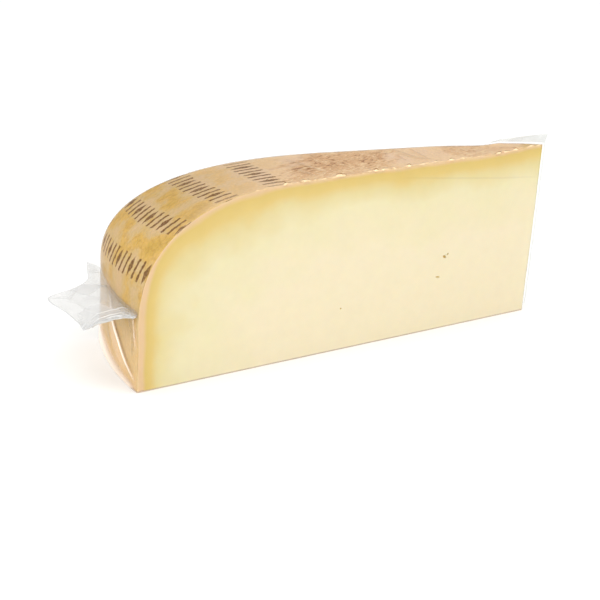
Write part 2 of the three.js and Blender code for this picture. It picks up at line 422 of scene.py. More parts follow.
@dataclass(frozen=True)
class WedgeForm:
    """The form that the cheese and its film share."""

    origin_depth: float
    wheel_radius: float = 130.0
    wedge_angle: float = math.radians(15.9)
    tip_width: float = 8.3
    heel_bulge: float = 1.9
    tip_hollow: float = -0.1  # how far the blunt tip is drawn in between its top and its foot
    tip_rise: float = 0.9  # how far the top turns up at the very tip
    tip_rise_span: Span = (53.0, 68.0)
    far_droop: float = 0.6  # how far the tip's far corner hangs
    far_droop_span: Span = (40.0, 57.0)
    crumb: float = 1.9  # size of the crumbs along the near cut's top edge
    crumb_reach: float = 1.0
    crumb_height: float = 0.9
    crumb_share: float = 0.06  # raises how many of them there are
    crumb_span: Span = (66.0, 84.0)  # how far along the rind they start
    near_side: SideProfile = SideProfile(
        lean=0.055,
        flank=14.6,
        flat=79.7,
        height=52.2,
        roundness=2.475,
        fall=0.0116,
        tip_top=-4.8,
        tip_foot=0.0,
    )
    far_side: SideProfile = SideProfile(
        lean=0.061,
        flank=22.2,
        flat=62.5,
        height=52.1,
        roundness=2.546,
        fall=0.0082,
        tip_top=10.5,
        tip_foot=15.0,
    )

    def near_cut(self) -> Cut:
        """The cut that faces -Y."""
        origin = Vector((self.wheel_radius / 2, -self.origin_depth, 0))
        return Cut(self.near_side, origin, Vector((-1, 0, 0)), 0.0)

    def far_cut(self) -> Cut:
        """The cut on the far side, turned by the wedge's angle and set off by the tip's width.

        Returns:
            The cut.
        """
        cos, sin = math.cos(self.wedge_angle), math.sin(self.wedge_angle)
        offset = self.tip_width * cos
        origin = Vector((self.wheel_radius / 2 + offset * sin, offset * cos - self.origin_depth, 0))
        return Cut(self.far_side, origin, Vector((-cos, sin, 0)), offset)

    def lifted(self, points: Array) -> Array:
        """Turn the top up towards the tip, and let the tip's far corner hang.

        Args:
            points: Points of the wedge.

        Returns:
            The points, with those near the tip's top moved up or down.
        """
        x, y, z = points[..., 0], points[..., 1], points[..., 2]
        rise = self.tip_rise * ease(*self.tip_rise_span, x)
        far_share = np.clip((y + self.origin_depth) / self.tip_width, 0, 1)
        droop = self.far_droop * far_share * ease(*self.far_droop_span, x)
        raised = points.copy()
        raised[..., 2] += (rise - droop) * np.clip(z / self.near_side.height, 0, 1) ** 4
        return raised

    def crumbs(self, skin: Skin) -> Array:
        """Crumbs of rind that the knife dragged out along the top edge of the near cut.

        Args:
            skin: The surface.

        Returns:
            How far each point stands out, in millimetres.
        """
        torn = np.clip(uneven(skin.points, self.crumb, octaves=2, shift=57.0) + self.crumb_share, 0, 1)
        across, along = skin.rind_place.T
        near_edge = np.exp(-((across / self.crumb_reach) ** 2)) * skin.on_rind
        return self.crumb_height * torn * near_edge * ease(*self.crumb_span, along)

    def even_turns(self, steps: int) -> Array:
        """Turns that space points evenly over the near shoulder.

        Args:
            steps: How many steps there are between the points.

        Returns:
            How far round each point lies, from 0 to a quarter turn.
        """
        turns = np.linspace(0, math.pi / 2, MEASURE_STEPS + 1)
        path = self.near_side.shoulder(self.wheel_radius, turns)
        length = np.r_[0, np.cumsum(np.linalg.norm(np.diff(path, axis=0), axis=1))]
        return np.interp(np.linspace(0, length[-1], steps + 1), length, turns)

    def outline(self, cut: Cut, steps: Steps, corner: float) -> tuple[Array, list[Stretch]]:
        """One cut's closed outline with rounded corners.

        Args:
            cut: The cut.
            steps: How finely it is drawn.
            corner: Radius of the corners.

        Returns:
            Points as place along the cut and height, and the stretch that each begins.
        """
        side, radius = cut.side, self.wheel_radius
        heel_foot = np.array([cut.along(np.array(radius)), 0.0])
        shoulder = side.shoulder(radius, self.even_turns(steps.shoulder))
        shoulder[:, 0] = cut.along(shoulder[:, 0])
        tip_top = np.array([cut.along(np.array(side.tip_top)), side.tip_height()])
        tip_foot = np.array([cut.along(np.array(side.tip_foot)), 0.0])
        heel_arc = corner_arc(tip_foot, heel_foot, shoulder[0], corner, steps.corner)
        top_arc = corner_arc(shoulder[-1], tip_top, tip_foot, corner, steps.corner)
        foot_arc = corner_arc(tip_top, tip_foot, heel_foot, corner, steps.corner)
        tip = np.linspace(top_arc[-1], foot_arc[0], steps.tip + 1)
        share = 1 - tip[:, 1] / tip_top[1]
        tip[:, 0] += bulge(self.tip_hollow, share) * np.sin(np.linspace(0, math.pi, len(tip)))
        runs = [
            (Stretch.RIND, np.linspace(heel_arc[-1], shoulder[0], steps.flank + 1)),
            (Stretch.RIND, shoulder),
            (Stretch.RIND, np.linspace(shoulder[-1], top_arc[0], steps.flat + 1)),
            (Stretch.RIND, top_arc),
            (Stretch.TIP, tip),
            (Stretch.TIP, foot_arc),
            (Stretch.FOOT, np.linspace(foot_arc[-1], heel_arc[0], steps.foot + 1)),
            (Stretch.RIND, heel_arc),
        ]
        points = np.concatenate([run[:-1] for _, run in runs])
        kinds = [kind for kind, run in runs for _ in run[:-1]]
        return points, kinds

    def skin(self, steps: Steps, edge: float, corner: float, wanted: Array) -> Skin:
        """A closed surface with rounded edges over the whole wedge.

        Args:
            steps: How finely it is drawn.
            edge: Radius of the edges round the two upright cuts.
            corner: Radius of the other edges.
            wanted: More points for the near cut, as place along it and height.

        Returns:
            The surface.
        """
        cuts = (self.near_cut(), self.far_cut())
        (near_outline, kinds), (far_outline, _) = (self.outline(cut, steps, corner) for cut in cuts)
        outlines = (near_outline, far_outline)
        tangents = [np.roll(o, -1, axis=0) - np.roll(o, 1, axis=0) for o in outlines]
        outward = [
            np.stack([t[:, 1], -t[:, 0]], -1) / np.linalg.norm(t, axis=1, keepdims=True) for t in tangents
        ]
        ends = [cut.place(outline) for cut, outline in zip(cuts, outlines)]
        lifts = [cut.place(out) - np.asarray(cut.origin) for cut, out in zip(cuts, outward)]
        chord = ends[1] - ends[0]
        width = np.linalg.norm(chord, axis=1)[:, None]
        bowed = np.stack([-chord[:, 1], chord[:, 0], np.zeros(len(chord))], -1) / width
        bow = self.heel_bulge * np.maximum(near_outline[:, :1], 0) / self.wheel_radius

        # each row runs from cut to cut, over a rounded edge, the level stretch and a rounded edge
        arc = np.linspace(0, math.pi / 2, steps.corner + 1)[:-1]
        arc_in, arc_drop = edge * (1 - np.cos(arc)), edge * (1 - np.sin(arc))
        level = (edge + (width - 2 * edge) * np.linspace(0, 1, steps.across + 1)) / width
        share = np.concatenate([arc_in / width, level, 1 - arc_in[::-1] / width], 1)
        near_drop = np.r_[arc_drop, np.zeros(level.shape[1] + len(arc))]
        far_drop = near_drop[::-1]
        tube = ends[0][:, None] + chord[:, None] * share[..., None]
        tube += bowed[:, None] * bulge(bow, share)[..., None]
        tube -= lifts[0][:, None] * near_drop[None, :, None] + lifts[1][:, None] * far_drop[None, :, None]

        rows, columns = share.shape
        faces: Faces = []
        face_kinds: list[Stretch | None] = []
        for row, kind in enumerate(kinds):
            start, after = row * columns, (row + 1) % rows * columns
            faces += [(start + i, after + i, after + i + 1, start + i + 1) for i in range(columns - 1)]
            face_kinds += [kind] * (columns - 1)

        # what the materials read, over the rows
        rind_rows = np.array([kind == Stretch.RIND for kind in kinds])
        walked = np.r_[0, np.cumsum(np.linalg.norm(np.diff(near_outline, axis=0), axis=1))]
        walked[-steps.corner :] = 0
        rind_place = np.stack([share * width, np.repeat(walked[:, None], columns, 1)], -1).reshape(-1, 2)
        cut_gap = (np.minimum(share, 1 - share) * width).ravel()
        rind_lines = [outline[rind_rows & (walked > 0)] for outline in outlines]
        near_depth, far_depth = (nearest(*pair)[:, None] for pair in zip(outlines, rind_lines))
        depth = near_depth * (1 - share) + far_depth * share + (near_drop + far_drop)
        cut_place = np.zeros((rows * columns, 2))
        on_near_cut = np.zeros(rows * columns, bool)

        # each cut is closed with triangles between its rim and points inside it
        points, depths, inner = [tube.reshape(-1, 3)], [depth.ravel()], []
        first = rows * columns
        for number, (cut, outline) in enumerate(zip(cuts, outlines)):
            is_near = number == 0
            rim = np.arange(rows) * columns + (0 if is_near else columns - 1)
            cut_place[rim] = outline - outward[number] * edge
            on_near_cut[rim] = is_near
            rings = [outline[::skip] - outward[number][::skip] * (edge + gap) for gap, skip in CUT_RINGS]
            filling = fill_points(cut_place[rim], rings, steps.inner, wanted if is_near else wanted[:0])
            triangles = fill_faces(cut_place[rim], filling)
            ids = [*rim.tolist(), *range(first, first + len(filling))]
            faces += [tuple(ids[i] for i in (face[::-1] if is_near else face)) for face in triangles]
            face_kinds += [None] * len(triangles)
            points.append(cut.place(filling))
            depths.append(nearest(filling, rind_lines[number]))
            inner.append(filling)
            first += len(filling)
        count = first - rows * columns
        return Skin(
            points=self.lifted(np.concatenate(points)),
            faces=faces,
            face_kinds=face_kinds,
            rind_place=np.concatenate([rind_place, np.full((count, 2), -1.0)]),
            cut_gap=np.r_[cut_gap, np.zeros(count)],
            cut_place=np.concatenate([cut_place, *inner]),
            depth=np.concatenate(depths),
            on_rind=np.r_[np.repeat(rind_rows, columns), np.zeros(count, bool)],
            on_near_cut=np.r_[on_near_cut, np.repeat([True, False], [len(filling) for filling in inner])],
        )

    def on_heel(self, share: Array, height: float) -> Array:
        """Places on the heel at one height.

        Args:
            share: How far across each lies.
            height: Above the foot.

        Returns:
            One point a row.
        """
        cuts = (self.near_cut(), self.far_cut())
        reach = [float(cut.side.reach(self.wheel_radius, np.array(height))) for cut in cuts]
        ends = [cut.place(np.array([cut.along(np.array(r)), height])) for cut, r in zip(cuts, reach)]
        chord = ends[1] - ends[0]
        bowed = np.array([-chord[1], chord[0], 0]) / np.linalg.norm(chord)
        bow = self.heel_bulge * reach[0] / self.wheel_radius
        share = np.asarray(share)[:, None]
        return ends[0] + chord * share + bulge(bowed * bow, share)


def nearest(places: Array, line: Array) -> Array:
    """Distance from each place to the nearest point of a line.

    Args:
        places: Flat places, one a row.
        line: Closely spaced points of the line.

    Returns:
        The distances.
    """
    return np.array([np.sqrt(((line - place) ** 2).sum(1).min()) for place in places])


def inside(places: Array, outline: Array) -> Array:
    """Which places lie inside a closed outline.

    Args:
        places: Flat places, one a row.
        outline: Points of the outline in order.

    Returns:
        True for each place inside.
    """
    start, end = outline, np.roll(outline, -1, axis=0)
    x, z = places[:, :1], places[:, 1:]
    spans = (start[:, 1] > z) != (end[:, 1] > z)
    rise = np.where(end[:, 1] == start[:, 1], 1e-9, end[:, 1] - start[:, 1])
    crossing = start[:, 0] + (z - start[:, 1]) * (end[:, 0] - start[:, 0]) / rise
    return (np.sum(spans & (x < crossing), axis=1) % 2) == 1


def fill_points(rim: Array, rings: list[Array], spacing: float, wanted: Array) -> Array:
    """Points inside a cut: rings close to its rim, wanted points, and an even field.

    Args:
        rim: The rim of the cut.
        rings: Rings of points close inside it.
        spacing: Of the field.
        wanted: Points that it has to have.

    Returns:
        Flat places, one a row.
    """
    low, high = rim.min(0), rim.max(0)
    lines = []
    for number, height in enumerate(np.arange(low[1], high[1], spacing * math.sqrt(0.75))):
        start = low[0] + spacing * 0.5 * (number % 2)
        across = np.arange(start, high[0], spacing)
        lines.append(np.stack([across, np.full_like(across, height)], -1))
    even = np.concatenate(lines)
    even = even[inside(even, rim)]
    even = even[nearest(even, rim) > CUT_RINGS[-1][0] + spacing * CUT_CLEARANCE]
    if len(wanted):
        even = even[nearest(even, wanted) > spacing * WANTED_CLEARANCE]
    return np.concatenate([*rings, wanted, even])


def fill_faces(rim: Array, inner: Array) -> list[tuple[int, int, int]]:
    """Triangles over a cut.

    Args:
        rim: The rim of the cut, in order.
        inner: Points inside it.

    Returns:
        Point numbers of each triangle, counted through the rim and then the inner points.
    """
    flat = [Vector(place) for place in np.concatenate([rim, inner])]
    ring = list(range(len(rim)))
    _, _, faces, origins, _, _ = delaunay_2d_cdt(flat, [], [ring], 1, 1e-6)
    return [tuple(origins[i][0] for i in face) for face in faces]


# ---------------------------------------------------------------------------------------------
# Finishes
# ---------------------------------------------------------------------------------------------


@dataclass(frozen=True)
class CutPaste:
    """Aged goat gouda paste, sliced clean with a long blade.

    The slice leaves a close, even, faintly waxy face. The paste dried from the rind inwards, so it
    deepens to straw yellow over the last few millimetres below the rind.
    """

    # from the rind's own edge over dry, straw and butter yellow to cream and the pale heart
    tones: Tones = (
        (0.02, "e9cb9f"),
        (0.055, "e4cb79"),
        (0.125, "e8d184"),
        (0.22, "ebdfa6"),
        (0.40, "f2ecc3"),
        (0.9, "f7eece"),
    )
    # painted shade inside the eye holes: the paste darkens to this deeper in each hole
    eye: str = "d9bf72"
    dry_zone: float = 40.0  # millimetres over which the colours below the rind change
    wander: float = 12.0  # size of the slow drift in how deep the dry zone goes
    drift: Span = (0.8, 1.25)  # and how far that depth goes down and up
    mottle: float = 2.6  # size of the faint clouding in the paste
    clouding: Span = (0.985, 1.01)  # and how dark and how light it gets
    tooth: float = 0.45  # size of the blade's fine tooth, drawn coarser than its real 0.1 mm to show

    def make(self) -> bpy.types.Material:
        """Build the material.

        Returns:
            The material.
        """
        material, node, surface = new_material("gouda_paste_sliced")
        place = node("TexCoord", out="Object")
        depth = node("Attribute", out="Fac", attribute_name="rind_depth")
        slow = node("TexNoise", {"Vector": place, "Scale": per_metre(self.wander), "Detail": 2.0})
        drifting = node("MapRange", (slow, *NOISE_SPAN, *self.drift))
        drifted = node("Math", (depth, drifting), operation="MULTIPLY")
        share = node("Math", (drifted, self.dry_zone), operation="DIVIDE")
        paste = node("ValToRGB", (share,), stops=self.tones)
        cloud = node("TexNoise", {"Vector": place, "Scale": per_metre(self.mottle), "Detail": 4.0})
        shade = node("MapRange", (cloud, *NOISE_REACH, *self.clouding))
        clouded = node("Mix", {0: 1.0, MIX_A: paste, MIX_B: shade}, blend_type="MULTIPLY", **COLOUR_MIX)
        # painted shade in the eye holes, by how far each point is sunk
        eye = node("Attribute", out="Fac", attribute_name="eye")
        colour = node("Mix", {0: eye, MIX_A: clouded, MIX_B: self.eye}, **COLOUR_MIX)
        tooth = node("TexNoise", {"Vector": place, "Scale": per_metre(self.tooth), "Detail": 3.0})
        bump = node("Bump", {"Strength": 0.12, "Distance": 0.1 * MM, "Height": tooth})
        shader = node(
            "BsdfPrincipled",
            {
                "Base Color": colour,
                "Roughness": 0.5,
                "IOR": 1.46,
                "Subsurface Weight": 0.2,
                "Subsurface Radius": (1.0, 0.7, 0.3),
                "Subsurface Scale": 1.5 * MM,
                "Normal": bump,
            },
        )
        material.node_tree.links.new(shader, surface)
        return material


@dataclass(frozen=True)
class PrintBand:
    """Where the rows of printed marks lie on the rind, and the size of the marks, in millimetres."""

    first: float = 30.5  # up from the heel's foot, at the near cut
    pitch: float = 15.6
    rows: int = 4
    row_shift: float = 1.3  # how far each row is set off from the one below
    height: float = 6.3
    spacing: float = 3.3
    cycle: int = 3  # marks before they start again: a lozenge and two bars
    stroke: float = 1.05
    stroke_edge: Span = (-0.05, 0.12)  # where a stroke fades, from half its width
    lozenge_half: float = 1.3
    slant: float = 0.2  # how far a row drops for each millimetre across, at least
    fan: float = 0.006  # how much more it drops for each millimetre higher up
    fan_start: float = -0.01
    lean: float = 0.16  # how far a mark leans for each millimetre of its height


@dataclass(frozen=True)
class PrintedRind:
    """A brushed and coated gouda rind with rows of worn brown ink.

    The coating lies thin over the pressed cloth's grain, so the rind is satin and softly blotched. It
    is rougher and browner on the wheel's flat face, where the wheel lay on its board.

    Places on it are in millimetres: across from the near cut, and along from the heel's foot.
    """

    side_tones: Tones = ((0.38, "d2b68a"), (0.50, "ceb480"), (0.62, "d4b062"), (0.76, "c8a654"))
    face_tones: Tones = ((0.42, "ecd2b5"), (0.64, "eed3ae"))
    fleck_tones: Tones = ((0.33, "9c6842"), (0.43, "dab48a"), (0.53, "dab48a"), (0.63, "f0d8b0"))
    crack_line: str = "a87f42"
    # painted light low on the heel, where the seam flap's shade falls
    low_heel_painted_light: str = "e5c896"
    straw: str = "d2b67c"
    ink: str = "6a4420"
    # pale torn coating along the cuts, with painted highlight of the film's sheen over the edge
    rim: str = "ecd0a8"
    print_band: PrintBand = PrintBand()
    wobble: float = 0.9  # how far the marks' edges are pushed about
    wobble_rate: float = 0.9  # bumps of that push in each millimetre
    crack_wobble: float = 2.6  # how far the cracks are pushed about
    golden_row: float = 0.68  # how far up a row's pitch the rind is the most golden
    golden: Ramp = (0.1, 0.4, 0.14, -0.02)  # by distance from there
    close: Ramp = (1.0, 14.0, 0.12, -0.05)  # more golden close to the near cut
    over_seam: Ramp = (22.0, 38.0, 0.0, 1.0)  # even below the seam flap
    blotch: float = 7.0  # size of the soft blotches
    crack: float = 4.0  # spacing of the fine cracks
    cracking: Ramp = (0.015, 0.09, 0.32, 0.0)  # how dark they are, by how far off their middle
    crack_warmth: Ramp = (0.48, 0.6, 0.0, 1.0)  # only where the rind is golden
    low_heel_lightening: Ramp = (12.0, 26.0, 0.65, 0.0)  # how much painted light lifts the heel low down, under the seam flap's shade, by place along
    face: Ramp = (52.0, 84.0, 0.0, 1.0)  # where the wheel's flat face starts
    patch: float = 6.0  # size of the unevenness in the flecked patches' edges
    patch_stray: float = 22.0  # and how far the edges stray
    patch_span: float = 200.0  # the length that the next places are shares of
    patches: Tones = (
        (0.0, 0.0),
        (0.445, 0.0),
        (0.475, 1.0),
        (0.635, 1.0),
        (0.66, 0.12),
        (0.75, 0.12),
        (0.77, 0.9),
        (0.86, 0.8),
        (0.89, 0.1),
    )
    scurf: float = 1.6  # size of the flecks on the flat face, drawn coarser than their real 1 mm to show
    scurf_draw: tuple[float, float, float] = (1.0, 0.55, 1.0)  # they are longer along than across
    scurf_close: float = 0.6  # how much paler they are close to the near cut
    scraped_stray: float = 12.0  # how far the scraped part's edge strays
    scraped_slant: float = -1.6  # and how far it moves on for each millimetre across
    scraping: Ramp = (165.0, 168.0, 0.0, 1.0)
    wear: float = 0.7  # size of the worn spots in the ink
    wearing: Ramp = (0.36, 0.52, 0.6, 0.96)
    tear: float = 2.6  # size of the tears along the cuts
    tear_stray: float = 5.0  # and how far they stray
    tearing_and_sheen: Ramp = (2.5, 3.3, 0.85, 0.0)  # how pale the torn coating and its painted highlight are, by distance from the cut
    thinning: Ramp = (0.0, 6.0, 0.5, 0.0)  # and the thinned coating behind it, with painted highlight of the film's sheen over the edge
    over_shoulder: Ramp = (46.0, 60.0, 0.12, 1.0)  # both show little below the shoulder
    off_edge: Ramp = (0.3, 0.9, 0.0, 1.0)  # and not on the very edge
    cloth: float = 0.9  # spacing of the pressed cloth's threads
    cloth_relief: float = 0.35  # how high they stand, against the flecks
    grain: float = 0.9  # size of the faint grain all over
    graining: Span = (0.9, 1.09)  # and how dark and how light it gets
    dulling: Span = (0.48, 0.68)  # roughness between the flecks and on them

    def ink_mask(self, node: NodeAdder, across: Socket, along: Socket) -> tuple[Socket, Socket]:
        """Rows of marks: a lozenge, then two bars, over and over.

        Args:
            node: Adds a node.
            across: Millimetres across the rind.
            along: Millimetres up the rind.

        Returns:
            How much ink there is, from 0 to 1, and how far up its row's pitch each place lies.
        """
        band = self.print_band
        half, half_stroke = band.height / 2, band.stroke / 2
        steep = node("Math", (along, band.fan, band.fan_start), operation="MULTIPLY_ADD")
        slope = node("Math", (steep, band.slant), operation="MAXIMUM")
        climb = node("Math", (across, slope, along), operation="MULTIPLY_ADD")
        lifted = node("Math", (climb, band.first), operation="SUBTRACT")
        row_place = node("Math", (lifted, band.pitch), operation="DIVIDE")
        row = node("Math", (row_place,), operation="FLOOR")
        row_share = node("Math", (row_place,), operation="FRACT")
        height = node("Math", (row_share, band.pitch, -half), operation="MULTIPLY_ADD")
        leaning = node("Math", (height, band.lean, across), operation="MULTIPLY_ADD")
        shifted = node("Math", (row, band.row_shift, leaning), operation="MULTIPLY_ADD")
        cell_place = node("Math", (shifted, band.spacing), operation="DIVIDE")
        cell = node("Math", (cell_place,), operation="FLOOR")
        cell_share = node("Math", (cell_place,), operation="FRACT")
        side = node("Math", (cell_share, band.spacing, -band.spacing / 2), operation="MULTIPLY_ADD")
        turn = node("Math", (cell, band.cycle), operation="FLOORED_MODULO")
        up = node("Math", (height,), operation="ABSOLUTE")
        bar = node("Math", (side,), operation="ABSOLUTE")
        # inside a lozenge, the shares of its half width and half height add up to less than one
        corner_sum = node("Math", (up, band.lozenge_half / half, bar), operation="MULTIPLY_ADD")
        lozenge = node("Math", (corner_sum, band.lozenge_half - half_stroke), operation="SUBTRACT")
        is_lozenge = node("Math", (turn, 0.0, 0.1), operation="COMPARE")
        marked = node("Mix", {0: is_lozenge, 2: bar, 3: lozenge})
        start, end = (half_stroke + edge for edge in band.stroke_edge)
        mask = node("MapRange", (marked, start, end, 1.0, 0.0))
        for limit in (
            node("Math", (up, half), operation="LESS_THAN"),
            node("Math", (row, -0.5), operation="GREATER_THAN"),
            node("Math", (row, band.rows - 0.5), operation="LESS_THAN"),
        ):
            mask = node("Math", (mask, limit), operation="MULTIPLY")
        return mask, row_share

    def make(self) -> bpy.types.Material:
        """Build the material.

        Returns:
            The material.
        """
        material, node, surface = new_material("gouda_rind_coated_printed")
        place = node("Attribute", out="Vector", attribute_name="rind_place")
        blur = node("TexNoise", {"Vector": place, "Scale": self.wobble_rate, "Detail": 2.0}, "Color")
        pushed = node("VectorMath", (blur, (0.5,) * 3), operation="SUBTRACT")
        ragged = node("VectorMath", (pushed, (self.wobble,) * 3, place), operation="MULTIPLY_ADD")
        across, along = (node("SeparateXYZ", (place,), axis) for axis in "XY")
        ink_mask, row_share = self.ink_mask(node, *(node("SeparateXYZ", (ragged,), axis) for axis in "XY"))

        # the rind is more golden between the printed rows and close to the near cut
        between = node("Math", (row_share, self.golden_row), operation="SUBTRACT")
        off_row = node("Math", (between,), operation="ABSOLUTE")
        golden = node("MapRange", (off_row, *self.golden))
        close = node("MapRange", (across, *self.close))
        blotches = node("TexNoise", {"Vector": place, "Scale": 1 / self.blotch, "Detail": 5.0})
        gilt = node("Math", (golden, close), operation="ADD")
        over_seam = node("MapRange", (along, *self.over_seam))
        warmth = node("Math", (gilt, over_seam, blotches), operation="MULTIPLY_ADD")
        colour = node("ValToRGB", (warmth,), stops=self.side_tones)

        # fine cracks in the coating, which wander
        strayed = node("VectorMath", (pushed, (self.crack_wobble,) * 3, place), operation="MULTIPLY_ADD")
        crack_settings = {"Vector": strayed, "Scale": 1 / self.crack}
        crack_gap = node("TexVoronoi", crack_settings, "Distance", feature="DISTANCE_TO_EDGE")
        cracks = node("MapRange", (crack_gap, *self.cracking))
        where_cracked = node("MapRange", (warmth, *self.crack_warmth))
        cracked = node("Math", (cracks, where_cracked), operation="MULTIPLY")

        # painted light makes the heel paler towards the foot, lifting the seam flap's shade, and the flat
        # face has flecked patches
        low = node("MapRange", (along, *self.low_heel_lightening))
        on_face = node("MapRange", (along, *self.face))
        face = node("ValToRGB", (warmth,), stops=self.face_tones)
        patch_edge = node("TexNoise", {"Vector": place, "Scale": 1 / self.patch, "Detail": 4.0})
        patch_place = node("Math", (patch_edge, self.patch_stray, along), operation="MULTIPLY_ADD")
        patch_share = node("Math", (patch_place, self.patch_span), operation="DIVIDE")
        patches = node("ValToRGB", (patch_share,), stops=self.patches)

        # the flecks are drawn out along the wedge, the way that the board's slats ran
        drawn_out = node("VectorMath", (place, self.scurf_draw), operation="MULTIPLY")
        scurf_settings = {"Vector": drawn_out, "Scale": 1 / self.scurf, "Detail": 3.0, "Distortion": 1.5}
        scurf = node("TexNoise", scurf_settings)
        paler = node("Math", (close, self.scurf_close, scurf), operation="MULTIPLY_ADD")
        flecks = node("ValToRGB", (paler,), stops=self.fleck_tones)

        # the coating is scraped off the last of the flat face, close to the near cut
        scraped_place = node("Math", (patch_edge, self.scraped_stray, along), operation="MULTIPLY_ADD")
        set_back = node("Math", (across, self.scraped_slant, scraped_place), operation="MULTIPLY_ADD")
        scraped = node("MapRange", (set_back, *self.scraping))

        # the ink's ragged strokes wore thin in places
        wear = node("TexNoise", {"Vector": place, "Scale": 1 / self.wear, "Detail": 6.0})
        worn = node("MapRange", (wear, *self.wearing))
        inked = node("Math", (ink_mask, worn), operation="MULTIPLY")

        # the torn edge of the coating shows paler along both cuts, in an uneven line, with painted highlight
        # where the film's sheen runs over the edge
        cut_gap = node("Attribute", out="Fac", attribute_name="cut_gap")
        tears = node("TexNoise", {"Vector": place, "Scale": 1 / self.tear, "Detail": 5.0})
        torn_gap = node("Math", (tears, self.tear_stray, cut_gap), operation="MULTIPLY_ADD")
        torn = node("MapRange", (torn_gap, *self.tearing_and_sheen))
        thinned_and_sheen = node("MapRange", (cut_gap, *self.thinning))
        rim = node("Math", (torn, thinned_and_sheen), operation="MAXIMUM")
        for value, ramp in ((along, self.over_shoulder), (cut_gap, self.off_edge)):
            rim = node("Math", (rim, node("MapRange", (value, *ramp))), operation="MULTIPLY")
        crumb = node("Attribute", out="Fac", attribute_name="crumb")
        pale_edge_crumbs_and_sheen = node("Math", (rim, crumb), operation="MAXIMUM")

        for share, layer in (
            (cracked, self.crack_line),
            (low, self.low_heel_painted_light),
            (on_face, face),
            (patches, flecks),
            (scraped, self.straw),
            (inked, self.ink),
            (pale_edge_crumbs_and_sheen, self.rim),
        ):
            colour = node("Mix", {0: share, MIX_A: colour, MIX_B: layer}, **COLOUR_MIX)
        grain = node("TexNoise", {"Vector": place, "Scale": 1 / self.grain, "Detail": 4.0})
        grained = node("MapRange", (grain, *NOISE_REACH, *self.graining))
        colour = node("Mix", {0: 1.0, MIX_A: colour, MIX_B: grained}, blend_type="MULTIPLY", **COLOUR_MIX)
        thread_rate = 1 / (self.cloth * math.tau)
        threads = node("TexWave", {"Vector": place, "Scale": thread_rate, "Distortion": 2.0})
        relief = node("Math", (threads, self.cloth_relief, scurf), operation="MULTIPLY_ADD")
        shader = node(
            "BsdfPrincipled",
            {
                "Base Color": colour,
                "Roughness": node("MapRange", (scurf, *NOISE_SPAN, *self.dulling)),
                "IOR": 1.48,
                "Specular IOR Level": 0.3,
                "Subsurface Weight": 0.06,
                "Subsurface Radius": (1.0, 0.6, 0.3),
                "Subsurface Scale": 0.8 * MM,
                "Normal": node("Bump", {"Strength": 0.35, "Distance": 0.25 * MM, "Height": relief}),
            },
        )
        material.node_tree.links.new(shader, surface)
        return material


class FilmLay(Enum):
    """How the film lies, with how milky it looks there."""

    TIGHT = 0.01
    LOOSE = 0.03


@dataclass(frozen=True)
class ShrunkFilm:
    """Clear laminated pack film, heat-shrunk.

    It is glossy and see-through where it lies flat, and whitens where it folds and overlaps; along the folds
    this whitening is partly painted highlight. A fold below zero is painted shade in a crease, which shows
    the dark tone at the low end instead.
    """

    lay: FilmLay
    tones: Tones = ((0.72, "c6c6c5"), (0.95, "f4f4f2"))  # by how folded it is; the whitest tone is partly painted highlight
    through: str = "fefefe"
    fold_haze: float = 0.8  # how much a full fold hides
    gloss_ior: float = 1.5
    ripple: float = 3.0  # size of the faint ripples that shrinking leaves
    clouding: Span = (0.6, 1.4)  # how much they change how milky it is

    def make(self) -> bpy.types.Material:
        """Build the material.

        Returns:
            The material.
        """
        material, node, surface = new_material(f"pack_film_shrunk_{self.lay.name.lower()}")
        place = node("TexCoord", out="Object")
        fold = node("Attribute", out="Fac", attribute_name="fold")
        ripples = node("TexNoise", {"Vector": place, "Scale": per_metre(self.ripple), "Detail": 3.0})
        cloudy = node("MapRange", (ripples, *NOISE_SPAN, *self.clouding))
        milky = node("Math", (cloudy, self.lay.value), operation="MULTIPLY")
        either_way = node("Math", (fold,), operation="ABSOLUTE")
        hazy = node("Math", (either_way, self.fold_haze, milky), operation="MULTIPLY_ADD")
        bump = node("Bump", {"Strength": 0.25, "Distance": 0.3 * MM, "Height": ripples})
        gloss = node("Fresnel", {"IOR": self.gloss_ior, "Normal": bump})
        seen = node("Math", (hazy, gloss), operation="ADD", use_clamp=True)
        # the fold's tone: whitening that is partly painted highlight, and painted shade where the fold is
        # below zero
        fold_tone_and_painted_light = node("ValToRGB", (fold,), stops=self.tones)
        clear = node("BsdfTransparent", {"Color": self.through})
        sheen = {"Roughness": 0.16, "IOR": 1.5, "Normal": bump}
        solid = node("BsdfPrincipled", {"Base Color": fold_tone_and_painted_light, **sheen})
        shader = node("MixShader", (seen, clear, solid))
        material.node_tree.links.new(shader, surface)
        return material


@dataclass(frozen=True)
class SweepPaper:
    """Uncoated white studio paper, rolled: matte, with the faintest fibre clouding."""

    tones: Tones = ((0.3, "eaeae9"), (0.7, "ebebea"))
    cloud: float = 60.0  # size of the clouding

    def make(self) -> bpy.types.Material:
        """Build the material.

        Returns:
            The material.
        """
        material, node, surface = new_material("studio_paper_rolled")
        place = node("TexCoord", out="Object")
        cloud = node("TexNoise", {"Vector": place, "Scale": per_metre(self.cloud)})
        tone = node("ValToRGB", (cloud,), stops=self.tones)
        shader = node("BsdfPrincipled", {"Base Color": tone, "Roughness": 0.9, "IOR": 1.45})
        material.node_tree.links.new(shader, surface)
        return material


# ---------------------------------------------------------------------------------------------
# The cheese
# ---------------------------------------------------------------------------------------------


